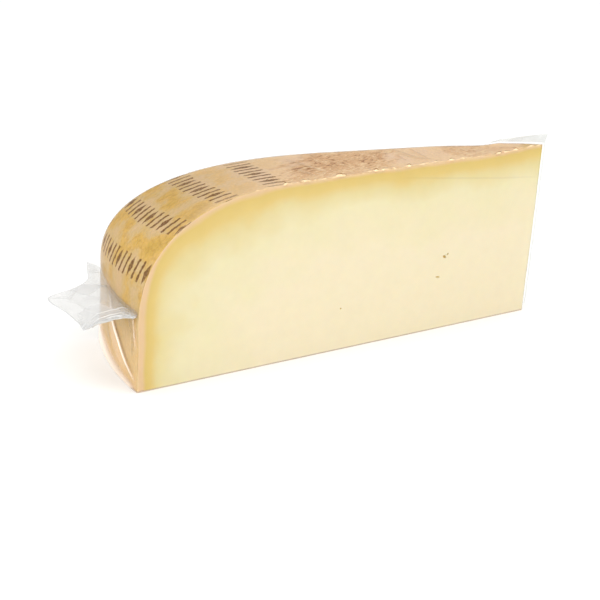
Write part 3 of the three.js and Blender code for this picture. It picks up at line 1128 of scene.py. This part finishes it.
@dataclass(frozen=True)
class Eye:
    """A small hole that the knife opened in the near cut."""

    along: float  # from the wheel's centre line
    height: float
    half_width: float
    half_height: float
    tilt: float
    depth: float

    def rings(self) -> Array:
        """Points for the near cut, in rings round the hole.

        Returns:
            One place along the cut and height a row.
        """
        angles = np.linspace(0, math.tau, EYE_SPOKES, endpoint=False)
        spokes = np.stack([np.cos(angles), np.sin(angles)], -1)
        rings = [spokes * share * [self.half_width, self.half_height] for share in EYE_RINGS]
        flat = np.concatenate([np.zeros((1, 2)), *rings])
        return turned(flat, self.tilt) + [self.along, self.height]

    def sunk(self, places: Array) -> Array:
        """How far in each place is sunk, from 0 to 1.

        Args:
            places: Places along the cut and heights.

        Returns:
            1 at the bottom of the hole, 0 outside it.
        """
        upright = turned(places - [self.along, self.height], -self.tilt)
        share = np.linalg.norm(upright / [self.half_width, self.half_height], axis=1)
        return np.sqrt(np.clip(1 - share**2, 0, 1))


@dataclass
class Cheese:
    """The wedge of cheese: its rind, its two cuts, the blunt tip and the foot."""

    form: WedgeForm
    inset: float = 0.18  # how far it lies inside the film
    edge: float = 0.12
    corner: float = 0.15
    steps: Steps = Steps(flank=27, shoulder=132, flat=220, tip=50, foot=110, across=76, corner=4, inner=1.3)
    swell: float = 13.0  # size of the slow unevenness all over
    rind_swell: float = 0.10  # and how high it is on the rind
    cut_swell: float = 0.035  # and on the cuts
    pitting: float = 1.7  # size of the rind's fine unevenness
    pitting_height: float = 0.05
    rind_sink: float = 0.05
    # how many times thinner the dried zone is, by place along the cut, towards the tip
    thinning: tuple[Span, ...] = ((-30.0, 1.0), (5.0, 1.56), (30.0, 1.3), (65.0, 1.5))
    heel_thinning: float = 1.4  # the same at the heel
    heel_easing: float = 0.4  # and how much of it is lost over the heel's span
    heel_span: Span = (-64.0, -46.0)
    heel_edge_and_sheen: float = 1.5  # the rind's own edge, with painted highlight of the film's sheen over it, shows this much wider down the heel
    heel_edge_and_sheen_span: Span = (-62.0, -57.0)
    crumb_tone: Span = (0.02, 0.2)  # over which heights a crumb turns pale
    eye_shade_span: Span = (0.0, 0.7)  # and over which shares of its depth painted shade darkens an eye
    eyes: tuple[Eye, ...] = (
        Eye(29.7, 22.2, 0.62, 0.42, 0.6, 0.9),
        Eye(28.6, 22.9, 0.36, 0.26, -0.4, 0.5),
        Eye(32.0, 16.3, 0.75, 0.22, 0.15, 0.4),
        Eye(65.5, 12.5, 0.3, 0.24, 0.0, 0.35),
    )

    def relief(self, skin: Skin) -> Array:
        """How far each point is moved outward.

        Args:
            skin: The surface.

        Returns:
            Millimetres for each point.
        """
        slow = uneven(skin.points, self.swell)
        fine = uneven(skin.points, self.pitting, shift=31.0)
        on_rind = self.rind_swell * slow - self.rind_sink + self.pitting_height * fine
        return np.where(skin.on_rind, on_rind, self.cut_swell * slow) - self.inset

    def dry_depth(self, skin: Skin) -> Array:
        """Depth below the rind, stretched where the dried zone is thinner: at the heel and the tip.

        Args:
            skin: The surface.

        Returns:
            Millimetres for each point.
        """
        place = skin.points[:, 0]
        at_heel = self.heel_thinning - self.heel_easing * ease(*self.heel_span, place)
        stretch = np.maximum(np.interp(place, *zip(*self.thinning)), at_heel)
        # the rind's edge tone and a painted highlight of the film's sheen widen down the heel
        edge_and_sheen = self.heel_edge_and_sheen * (1 - ease(*self.heel_edge_and_sheen_span, place))
        return np.maximum(skin.depth * stretch - edge_and_sheen, 0)

    def build(self) -> list[bpy.types.Object]:
        """Make the mesh and its two materials.

        Returns:
            The piece.
        """
        wanted = np.concatenate([eye.rings() for eye in self.eyes])
        skin = self.form.skin(self.steps, self.edge, self.corner, wanted)
        crumbs = self.form.crumbs(skin)
        points = skin.points + skin.normals() * (self.relief(skin) + crumbs)[:, None]
        sunk = np.zeros(len(points))
        for eye in self.eyes:
            share = np.where(skin.on_near_cut, eye.sunk(skin.cut_place), 0)
            points[:, 1] += share * eye.depth
            sunk = np.maximum(sunk, share)
        piece = make_piece(
            "gouda_wedge",
            points,
            skin.faces,
            [PrintedRind().make(), CutPaste().make()],
            [0 if kind == Stretch.RIND else 1 for kind in skin.face_kinds],
            rind_place=np.concatenate([skin.rind_place, np.zeros((len(points), 1))], 1),
            rind_depth=self.dry_depth(skin),
            cut_gap=skin.cut_gap,
            crumb=ease(*self.crumb_tone, crumbs),
            eye=ease(*self.eye_shade_span, sunk),
        )
        fit(piece, "cheese", "cheese_wedge")
        return [piece]


# ---------------------------------------------------------------------------------------------
# The film
# ---------------------------------------------------------------------------------------------


@dataclass(frozen=True)
class Crease:
    """A fold in the film, along a line over the surface that it lies on."""

    width: float
    rise: float
    haze: float  # above zero it whitens, partly as painted highlight; below zero it is painted shade in the crease
    line: tuple[Span, ...]

    def nearness(self, places: Array) -> Array:
        """How close each place is to the fold.

        Args:
            places: Flat places on the surface.

        Returns:
            1 on the fold, falling to 0 beside it and towards its ends.
        """
        line = np.array(self.line)
        spans = np.linalg.norm(np.diff(line, axis=0), axis=1)
        starts = np.r_[0, np.cumsum(spans)]
        best, walked = np.full(len(places), np.inf), np.zeros(len(places))
        for start, end, span, before in zip(line[:-1], line[1:], spans, starts):
            share = np.clip((places - start) @ (end - start) / span**2, 0, 1)
            gap = np.linalg.norm(places - start - share[:, None] * (end - start), axis=1)
            walked = np.where(gap < best, before + share * span, walked)
            best = np.minimum(best, gap)
        ends = np.sqrt(np.sin(np.pi * np.clip(walked / starts[-1], *CREASE_ENDS)))
        return np.exp(-((best / self.width) ** 2)) * ends


@dataclass
class FilmSkin:
    """The film where it lies on the cheese."""

    form: WedgeForm
    edge: float = 0.2
    corner: float = 0.2
    steps: Steps = Steps(flank=40, shoulder=120, flat=220, tip=34, foot=60, across=64, corner=4, inner=2.4)
    # the darkest tone is painted shade for creases below zero, and the whitest is partly painted highlight
    finish: ShrunkFilm = ShrunkFilm(
        FilmLay.TIGHT,
        tones=((0.0, "9a7238"), (0.06, "e4c6ac"), (0.85, "fbf0e0")),
        through="fdfdfd",
        fold_haze=1.5,
        gloss_ior=1.2,
    )
    slack: float = 7.0  # size of the slow unevenness all over
    slack_height: float = 0.05
    heel_end: float = -50.0  # the heel lies below this place along the cut
    skirt_stand: float = 0.12  # how far the film stands out round the heel's foot
    skirt_low: float = 1.6  # height of that band at the near cut
    skirt_climb: float = 0.15  # how much higher it is for each millimetre across
    skirt_top: Span = (0.1, 1.2)  # over which shares of its height it ends
    skirt_start: Span = (0.0, 5.0)  # over which places across the heel it starts
    skirt_haze: float = 0.5
    foot_light_line: Span = (0.1, 0.5)  # painted light: a pale line of film at the foot that lifts the dark contact shade there
    foot_light_haze: float = 0.42
    # creases that whiten are partly painted highlight; those with haze below zero are painted shade along the
    # crease
    heel_creases: tuple[Crease, ...] = (
        Crease(0.5, 0.6, 0.85, ((24.9, 19.6), (22.5, 14.4), (20.3, 11.4), (13.8, 8.7), (8.4, 5.7), (2, 3))),
        Crease(0.3, 0.1, -0.3, ((23.6, 20), (21, 14.2), (18.7, 11.8), (12.6, 9.5), (7.3, 6.6), (2.0, 4.4))),
        Crease(0.9, 0.35, -0.1, ((27.6, 20), (27.6, 11), (25.6, 7.8), (20.5, 5.2))),
        Crease(2.2, 0.05, 0.09, ((27.0, 14.0), (22.0, 8.5), (14.0, 5.6), (6.0, 2.8))),
        Crease(0.3, 0.3, -0.28, ((6.6, 20.4), (5, 16.9), (4, 15.2), (3.4, 12.6), (3.7, 10.2), (4, 7.8))),
        Crease(0.3, 0.25, 0.5, ((3.1, 21.2), (2.4, 16), (1.6, 12))),
    )
    # painted shade along wrinkles over the top
    top_creases: tuple[Crease, ...] = (
        Crease(0.4, 0.2, -0.26, ((21.4, 117.9), (13.1, 123.8), (6.6, 127.6), (2.9, 131.9))),
        Crease(0.35, 0.15, -0.22, ((18.5, 125.9), (10.8, 129.3), (3.8, 131.0))),
        Crease(0.35, 0.15, -0.18, ((14.5, 120.4), (5.5, 123.0))),
        Crease(0.45, 0.2, -0.2, ((28.4, 78.7), (17.6, 85.0), (6.3, 94.1))),
        Crease(0.4, 0.2, -0.18, ((20.1, 80.7), (10.0, 86.0), (2.2, 92.0))),
        Crease(0.35, 0.15, -0.18, ((12.9, 145.5), (5.6, 147.2))),
    )
    # painted shade along a faint crease across the near cut
    cut_crease: Crease = Crease(0.22, 0.08, -0.07, ((46.2, 48.7), (28.8, 46.2), (10.7, 43.7), (-4.0, 41.6)))
    crease_steps: int = 90  # points along it
    crease_gaps: tuple[float, ...] = (-0.8, -0.4, -0.2, 0.0, 0.2, 0.4, 0.8)  # rows of them beside it
    crease_end: float = -2.6  # short of the tip's own rim

    def beside_crease(self) -> Array:
        """Points for the near cut, in rows along its crease.

        Returns:
            One place along the cut and height a row.
        """
        line = np.array(self.cut_crease.line)
        middle = line[0] + (line[-1] - line[0]) * np.linspace(0, 1, self.crease_steps)[:, None]
        places = np.concatenate([middle + [0, gap] for gap in self.crease_gaps])
        return places[places[:, 0] > self.crease_end]

    def skirt(self, skin: Skin) -> Array:
        """The band round the heel's foot where the film stands out.

        Args:
            skin: The surface.

        Returns:
            1 in the band and 0 outside it, for each point.
        """
        across, height = skin.rind_place[:, 0], skin.points[:, 2]
        share = height / np.maximum(self.skirt_low + self.skirt_climb * across, 1)
        on_heel = (skin.points[:, 0] < self.heel_end) * skin.on_rind
        return (1 - ease(*self.skirt_top, share)) * on_heel * ease(*self.skirt_start, across)

    def build(self) -> list[bpy.types.Object]:
        """Make the mesh and its material.

        Returns:
            The piece.
        """
        skin = self.form.skin(self.steps, self.edge, self.corner, self.beside_crease())
        slack = self.slack_height * uneven(skin.points, self.slack, shift=5.0)
        rise = slack + self.form.crumbs(skin)
        fold = np.zeros(len(rise))
        for creases, places, where in (
            (self.heel_creases + self.top_creases, skin.rind_place, skin.on_rind),
            ((self.cut_crease,), skin.cut_place, skin.on_near_cut),
        ):
            for crease in creases:
                near = crease.nearness(places) * where
                rise += crease.rise * near
                fold = stronger(fold, crease.haze * near)
        skirt = self.skirt(skin)
        rise += self.skirt_stand * skirt
        # painted light along the foot, lifting the contact shade
        foot = self.foot_light_haze * (1 - ease(*self.foot_light_line, skin.points[:, 2]))
        fold = stronger(fold, np.maximum(self.skirt_haze * skirt, foot))
        points = skin.points + skin.normals() * rise[:, None]
        points[:, 2] = np.maximum(points[:, 2], 0)
        piece = make_piece("film_skin", points, skin.faces, [self.finish.make()], fold=fold)
        fit(piece, "film", "cheese_wedge")
        return [piece]


def smooth_line(corners: Array, shares: Array) -> Array:
    """A smooth curve through corners, spaced by the square root of their distances.

    Args:
        corners: The points that it passes through.
        shares: Places along it, each stretch between corners taking an equal part.

    Returns:
        One point a row.
    """
    guides = np.concatenate([[2 * corners[0] - corners[1]], corners, [2 * corners[-1] - corners[-2]]])
    made = []
    for share in shares:
        place = share * (len(corners) - 1)
        first = min(int(place), len(corners) - 2)
        p = guides[first : first + 4]
        gaps = np.sqrt(np.linalg.norm(np.diff(p, axis=0), axis=1))
        t = np.r_[0, np.cumsum(gaps)]
        at = t[1] + (t[2] - t[1]) * (place - first)
        a = [p[i] + (p[i + 1] - p[i]) * (at - t[i]) / (t[i + 1] - t[i]) for i in range(3)]
        b = [a[i] + (a[i + 1] - a[i]) * (at - t[i]) / (t[i + 2] - t[i]) for i in range(2)]
        made.append(b[0] + (b[1] - b[0]) * (at - t[1]) / (t[2] - t[1]))
    return np.array(made)


@dataclass(frozen=True)
class Facet:
    """A flat part of crumpled film, which reaches halfway to its neighbours."""

    place: Span
    # how hazy it is: partly the film's haze, partly painted shading that sets the facet lighter or darker as
    # light falls on it
    haze: float
    tilt: Span


@dataclass
class SeamFlap:
    """The pouch's seam flap on the heel: two films that meet at its outer edge."""

    form: WedgeForm
    height: float = 22.5  # above the foot, where it leaves the heel
    root_gap: float = 0.12
    edge: tuple[Place, ...] = (  # its outer edge, with how far above its height each place lies
        (-64.8, -14.5, 0),
        (-68.4, -13.8, 0.3),
        (-72.1, -13.2, 0.2),
        (-75.2, -13.2, -0.1),
        (-77.0, -13.0, -1.2),
        (-78.6, -12.3, -2.2),
        (-78.2, -7.0, -2.0),
        (-78.8, -1.0, -1.0),
        (-80.1, 9.6, 0.2),
        (-72, 12.4, 0.6),
        (-65.4, 17.4, 0.4),
        (-61.6, 26, 0.2),
        (-58.2, 34.4, 0),
    )
    fan: float = 2.2  # how much closer together it starts on the heel than it ends
    pleats: int = 5
    pleated_share: float = 0.42  # of its length, from the near cut
    pleat_height: float = 0.25
    slack: float = 9.0  # size of the slow unevenness
    slack_height: float = 0.2
    slack_squash: Place = (1, 1, 0.2)  # it changes little with height
    layer_gap: float = 0.25
    root_fillet: float = 0.35  # how far up and down the heel the two films part
    clear_root: float = 3.0  # how far out the film starts clear
    clear_share: float = 0.8
    seal_share: float = 0.05  # how much of its width is the seal
    seal_haze: float = 0.6
    along_steps: int = 230
    out_steps: int = 60
    # each facet's haze is partly painted shading, lighter or darker as light falls on that facet
    facets: tuple[Facet, ...] = (
        Facet((-76.8, 1.0), 0.23, (0.02, 0.03)),
        Facet((-77.2, 8.9), 0.21, (0.03, -0.05)),
        Facet((-73.0, 7.4), 0.3, (-0.04, 0.05)),
        Facet((-68.6, 10.0), 0.42, (0.05, -0.02)),
        Facet((-70.9, 1.6), 0.33, (0.06, -0.02)),
        Facet((-75.4, -5.6), 0.4, (-0.03, 0.04)),
        Facet((-79.0, -4.4), 0.24, (0.03, 0.0)),
        Facet((-70.8, -3.0), 0.46, (-0.04, 0.03)),
        Facet((-66.0, -1.0), 0.2, (-0.05, 0.0)),
        Facet((-65.6, 6.4), 0.28, (0.04, 0.04)),
        Facet((-63.0, 17.5), 0.22, (0.0, 0.06)),
        Facet((-58.6, 30.0), 0.18, (-0.05, 0.0)),
    )
    facet_edge: float = 0.14  # how soft the ridges between facets are
    # the pleats whiten, partly as painted highlight along each fold
    creases: tuple[Crease, ...] = (
        Crease(0.28, 0.35, 1, ((-64.3, -10.0), (-65.4, -7.1), (-68.5, -6.2), (-72.1, -5.9), (-75.9, -8.6))),
        Crease(0.28, 0.35, 1, ((-64.6, -13.0), (-66.8, -10.2), (-69.7, -9.1), (-73.3, -9.2), (-77.4, -11.8))),
        Crease(0.28, 0.35, 1, ((-64.7, -13.8), (-67.5, -11.8), (-70.6, -11), (-74.3, -11.5), (-77.6, -12.6))),
        Crease(0.28, 0.3, 0.9, ((-64.8, -14.3), (-68.2, -13.2), (-71.5, -12.7), (-75.1, -12.8))),
        Crease(2.2, 0.2, 0.52, ((-64.7, -13.2), (-67.5, -10.6), (-71.0, -9.6), (-77.0, -11.0))),
        Crease(0.3, 0.25, 0.6, ((-79.9, 9.2), (-77.0, 8.0), (-74.7, 6.4), (-72.6, 9.0), (-70.4, 11.5))),
        Crease(1.2, 0.3, 0.6, ((-79.0, -6), (-77.9, -9.5), (-77.2, -12.4))),
    )
    crumple_at: Span = (-77.4, -10.4)  # the gathered corner
    crumple_reach: float = 2.8
    crumple: float = 1.3  # size of its bumps
    crumple_height: float = 0.9
    crumple_haze: float = 0.5

    def facet_field(self, places: Array) -> tuple[Array, Array]:
        """Lay the facets out.

        Args:
            places: Places over the ground, one a row.

        Returns:
            How far each place is lifted, and how hazy it is, which also paints each facet's shading.
        """
        gaps = np.stack([np.linalg.norm(places - facet.place, axis=1) for facet in self.facets])
        weights = np.exp((gaps.min(0) - gaps) / self.facet_edge)
        weights /= weights.sum(0)
        lifts = np.stack([(places - facet.place) @ np.array(facet.tilt) for facet in self.facets])
        facet_hazes_and_shading = np.array([facet.haze for facet in self.facets])[:, None]
        return (weights * lifts).sum(0), (weights * facet_hazes_and_shading).sum(0)

    def layer(self, side: int) -> tuple[Array, Array]:
        """One of the two films.

        Args:
            side: 1 for the upper film, -1 for the lower one.

        Returns:
            Its points and how folded each is.
        """
        along = np.linspace(0, 1, self.along_steps + 1)
        out = np.linspace(0, 1, self.out_steps + 1)
        root = self.form.on_heel(along**self.fan, self.height)
        root[:, 0] -= self.root_gap
        rim = smooth_line(np.array(self.edge) + [0, 0, self.height], along)
        grid = root[:, None] + (rim - root)[:, None] * out[None, :, None]
        points = grid.reshape(-1, 3)

        # pleats, facets and bumps lift the film between its two edges
        pleated = np.sqrt(np.clip(1 - along / self.pleated_share, 0, None))[:, None]
        wave = np.sin(math.tau * self.pleats * along / self.pleated_share)[:, None]
        arched = np.sin(math.pi * out)
        tilt, haze = self.facet_field(points[:, :2])
        slow = uneven(points * self.slack_squash, self.slack, octaves=2, shift=11.0 * side)
        from_corner = np.linalg.norm(points[:, :2] - self.crumple_at, axis=1)
        gathered = np.exp(-((from_corner / self.crumple_reach) ** 2))
        bumps = uneven(points, self.crumple, shift=17.0 * side) * gathered
        rough = (tilt + self.slack_height * slow + self.crumple_height * bumps).reshape(grid.shape[:2])
        lift = self.pleat_height * wave * arched * pleated + rough * arched**0.5

        # the two films part at the heel and meet at the outer edge
        reach = out * np.linalg.norm(rim - root, axis=1)[:, None]
        near_root = np.clip(1 - reach / self.root_fillet, 0, 1)
        lift += side * (self.layer_gap * (1 - out**6) + self.root_fillet * near_root**2)

        # the film is clear where it starts, and hazy along the seal at its outer edge
        fold = np.maximum(haze, self.crumple_haze * (1 + np.abs(bumps)) * gathered).reshape(lift.shape)
        fold *= 1 - self.clear_share * np.clip(1 - reach / self.clear_root, 0, 1)
        fold = np.maximum(fold, self.seal_haze * ease(1 - self.seal_share, 1, out)).ravel()
        points[:, 2] += lift.ravel()
        for crease in self.creases:
            near = crease.nearness(points[:, :2])
            points[:, 2] += crease.rise * near
            fold = stronger(fold, crease.haze * near)
        return points, fold

    def build(self) -> list[bpy.types.Object]:
        """Make the two films.

        Returns:
            Both pieces.
        """
        film = ShrunkFilm(FilmLay.LOOSE, gloss_ior=1.33).make()
        faces = grid_faces(self.along_steps + 1, self.out_steps + 1)
        pieces = []
        for name, side in (("upper", 1), ("lower", -1)):
            points, fold = self.layer(side)
            piece = make_piece(f"seam_flap_{name}", points, faces, [film], fold=fold)
            fit(piece, "film", "film_seam_flap")
            pieces.append(piece)
        return pieces


@dataclass
class TipEar:
    """The loose ear of film over the tip, and the fold that runs down the tip's near edge."""

    form: WedgeForm
    finish: ShrunkFilm = ShrunkFilm(FilmLay.LOOSE, tones=((0.62, "a4a6a1"), (0.95, "f0f0ee")), gloss_ior=1.33)
    gap: float = 0.3  # between the cheese and where the film leaves it
    start: float = 12.5  # the ear starts on the far cut, this far from the wheel's centre line
    turn_share: float = 0.13  # how far along the ear the tip's far corner lies
    height: float = 2.8  # at the tip's near corner
    low: float = 0.3  # and where it starts
    upward: Place = (0.1, 0, 1)  # the ear's way up, and the fold's way out
    outward: Place = (1, 0, 0.1)
    ear_lean: float = 0.3  # how far it leans out at the tip's near corner
    ear_haze: float = 0.6
    fin_width: float = 0.6  # halfway down
    fin_taper: float = 0.6  # how much narrower it is at its foot than at its top, by that width
    fin_lean: float = 8.0  # how fast it comes to stand straight out
    fin_haze: float = 0.35
    fin_foot: float = 2.0  # how far above the foot it ends
    waver: float = 3.5  # size of the waves in the free edge
    waver_height: float = 0.35
    cloud: float = 3.0  # size of the unevenness in the haze
    cloud_haze: float = 0.06
    rim_haze: float = 0.1  # how much more the free edge whitens
    top_steps: int = 60
    fin_steps: int = 70
    up_steps: int = 10

    def root_line(self) -> tuple[Array, Array]:
        """Where the ear leaves the cheese.

        Returns:
            Points along the tip's top, and points down its near edge.
        """
        near, far = self.form.near_cut(), self.form.far_cut()
        far_height = far.side.height - far.side.fall * (far.side.flat - self.start) + self.gap
        start = far.place(np.array([far.along(np.array(self.start)), far_height]))
        turn_height = far.side.tip_height() + self.gap
        turn_far = far.place(np.array([far.along(np.array(far.side.tip_top)), turn_height]))
        turn = near.place(np.array([near.side.tip_top - self.gap, near.side.tip_height() + self.gap]))
        foot = near.place(np.array([near.side.tip_foot - self.gap, 0.0]))
        shares = np.linspace(0, 1, self.top_steps + 1)[:, None]
        top = np.where(
            shares < self.turn_share,
            start + (turn_far - start) * shares / self.turn_share,
            turn_far + (turn - turn_far) * (shares - self.turn_share) / (1 - self.turn_share),
        )
        share = np.linspace(0, 1 - self.fin_foot / turn[2], self.fin_steps + 1)[1:, None]
        fin = turn + (foot - turn) * share
        fin[:, :1] -= bulge(self.form.tip_hollow, share)
        return self.form.lifted(top), self.form.lifted(fin)

    def build(self) -> list[bpy.types.Object]:
        """Make the ear and the fold as one sheet.

        Returns:
            The piece.
        """
        top, fin = self.root_line()
        root = np.concatenate([top, fin])
        top_share = np.linspace(0, 1, len(top))
        fin_share = np.linspace(0, 1, len(fin) + 1)[1:]
        ear_width = self.low + (self.height - self.low) * top_share
        fin_width = self.fin_width * (1 + self.fin_taper / 2 - self.fin_taper * fin_share)
        width = np.r_[ear_width, fin_width]
        fin_leaning = np.minimum(self.ear_lean + fin_share * self.fin_lean, 1)
        leaning = np.r_[self.ear_lean * top_share**4, fin_leaning][:, None]
        away = np.array(self.upward) * (1 - leaning) + np.array(self.outward) * leaning
        away /= np.linalg.norm(away, axis=1, keepdims=True)
        up = np.linspace(0, 1, self.up_steps + 1)
        grid = root[:, None] + (away * width[:, None])[:, None] * up[None, :, None]
        points = grid.reshape(-1, 3)
        risen = np.tile(up, len(root))
        points[:, 1] += self.waver_height * (uneven(points, self.waver, shift=7.0) * risen)
        haze = np.repeat([self.ear_haze, self.fin_haze], [len(top) * len(up), len(fin) * len(up)])
        clouds = self.cloud_haze * uneven(points, self.cloud, octaves=2, shift=3.0)
        fold = haze + clouds + self.rim_haze * risen**8
        faces = grid_faces(len(root), len(up))
        piece = make_piece("tip_ear", points, faces, [self.finish.make()], fold=fold)
        fit(piece, "film", "film_tip_ear")
        return [piece]


# ---------------------------------------------------------------------------------------------
# The studio
# ---------------------------------------------------------------------------------------------


@dataclass(frozen=True)
class SoftBox:
    """A square studio light that faces the cheese."""

    name: str
    place: Place  # millimetres
    size: float
    power: float  # watts


@dataclass
class Studio:
    """The floor, the lights and the camera."""

    target: Place = (-5, 4, 22)
    floor_drop: float = 0.03  # below the foot's film
    floor_size: float = 6000.0
    dome: float = 0.9
    camera_place: Place = (-225.642, -380.909, 171.815)
    camera_heading: float = 60.034  # degrees round from +X
    camera_pitch: float = 20.0  # degrees below level
    camera_near: float = 10.0
    lens: float = 96.0
    sensor: float = 36.0
    boxes: tuple[SoftBox, ...] = (
        SoftBox("key", (350, -700, 1250), 1100, 7.0),
        SoftBox("front", (250, -1300, 480), 1000, 4.5),
        SoftBox("left", (-1150, -450, 380), 900, 9.0),
        SoftBox("top", (-400, 300, 1300), 900, 4.0),
    )

    def build(self) -> list[bpy.types.Object]:
        """Make all of it.

        Returns:
            The floor.
        """
        half = self.floor_size / 2
        square = np.array([(-half, -half), (half, -half), (half, half), (-half, half)])
        points = np.concatenate([square, np.full((4, 1), -self.floor_drop)], 1)
        floor = make_piece("floor", points, [(0, 1, 2, 3)], [SweepPaper().make()])
        for box in self.boxes:
            self.add_light(box)
        self.add_dome()
        self.add_camera()
        return [floor]

    def add_light(self, box: SoftBox) -> None:
        """Hang one soft box.

        Args:
            box: Where it hangs, and how large and bright it is.
        """
        lamp = bpy.data.lights.new(box.name, "AREA")
        lamp.shape = "SQUARE"
        lamp.size = box.size * MM
        lamp.energy = box.power
        light = bpy.data.objects.new(box.name, lamp)
        light.location = Vector(box.place) * MM
        aim = Vector(self.target) * MM - light.location
        light.rotation_euler = aim.to_track_quat("-Z", "Y").to_euler()
        bpy.context.scene.collection.objects.link(light)

    def add_dome(self) -> None:
        """Fill from all round with even white light."""
        world = bpy.data.worlds.new("white_dome")
        world.use_nodes = True
        background = world.node_tree.nodes["Background"]
        background.inputs["Color"].default_value = (1, 1, 1, 1)
        background.inputs["Strength"].default_value = self.dome
        bpy.context.scene.world = world

    def add_camera(self) -> None:
        """Stand the camera where the photograph was taken from."""
        data = bpy.data.cameras.new("camera")
        data.lens = self.lens
        data.sensor_width = self.sensor
        data.clip_start = self.camera_near * MM
        camera = bpy.data.objects.new("camera", data)
        camera.location = Vector(self.camera_place) * MM
        turn = math.radians(self.camera_heading - 90)
        camera.rotation_euler = (math.radians(90 - self.camera_pitch), 0, turn)
        bpy.context.scene.collection.objects.link(camera)
        bpy.context.scene.camera = camera


# ---------------------------------------------------------------------------------------------
# The whole
# ---------------------------------------------------------------------------------------------


def main() -> None:
    """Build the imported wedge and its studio."""
    logging.basicConfig(level=logging.INFO, format="%(message)s")
    bpy.context.scene.view_settings.view_transform = "Standard"
    low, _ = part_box("cheese_wedge")
    form = WedgeForm(origin_depth=-low.y / MM)
    for part in (Cheese(form), FilmSkin(form), SeamFlap(form), TipEar(form), Studio()):
        for piece in part.build():
            log.info("%s: %d faces", piece.name, len(piece.data.polygons))


if __name__ == "__main__":
    main()
